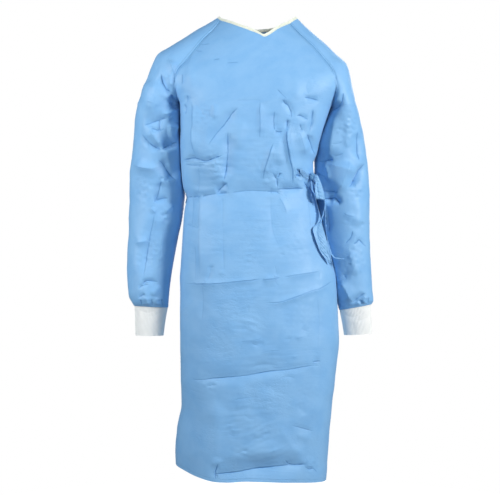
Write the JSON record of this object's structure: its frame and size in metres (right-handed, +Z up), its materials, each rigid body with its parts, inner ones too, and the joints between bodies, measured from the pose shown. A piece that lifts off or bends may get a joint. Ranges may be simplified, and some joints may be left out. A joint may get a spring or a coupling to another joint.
{
  "type": "surgical gown",
  "caption": "Long-sleeved surgical gown, hollow as worn: raglan sleeves with ribbed knit cuffs, bound V neck, lapped back, belt and side tie.",
  "frame": {"origin": "midway between the two neck points, where the wearer's shoulders and neck carry the gown", "axes": "+X to the wearer's left, +Y to the wearer's back, +Z up along the gown's length"},
  "size_m": [0.6436, 0.2788, 1.1994],
  "materials": {
    "cloth": "light blue laminated nonwoven, slight waxy sheen, fine creases",
    "knit": "white ribbed knit, matte",
    "binding": "cream-white folded binding, matte",
    "closure": "white hook-and-loop tape, matte"
  },
  "bodies": {
    "root": {"front_panel": "cloth", "back_panel_under": "cloth", "back_panel_over": "cloth", "sleeve_right": "cloth", "sleeve_left": "cloth", "cuff_right": "knit", "cuff_left": "knit", "neck_binding": "binding", "neck_hook_tab": "closure", "neck_loop_patch": "closure", "belt_back": "cloth", "tie_sewn_end": "cloth", "tie_knot": "cloth", "tie_bow_loop": "cloth", "tie_tail_upper": "cloth", "tie_tail_broad": "cloth", "tie_tail_second": "cloth"}
  },
  "joints": []
}
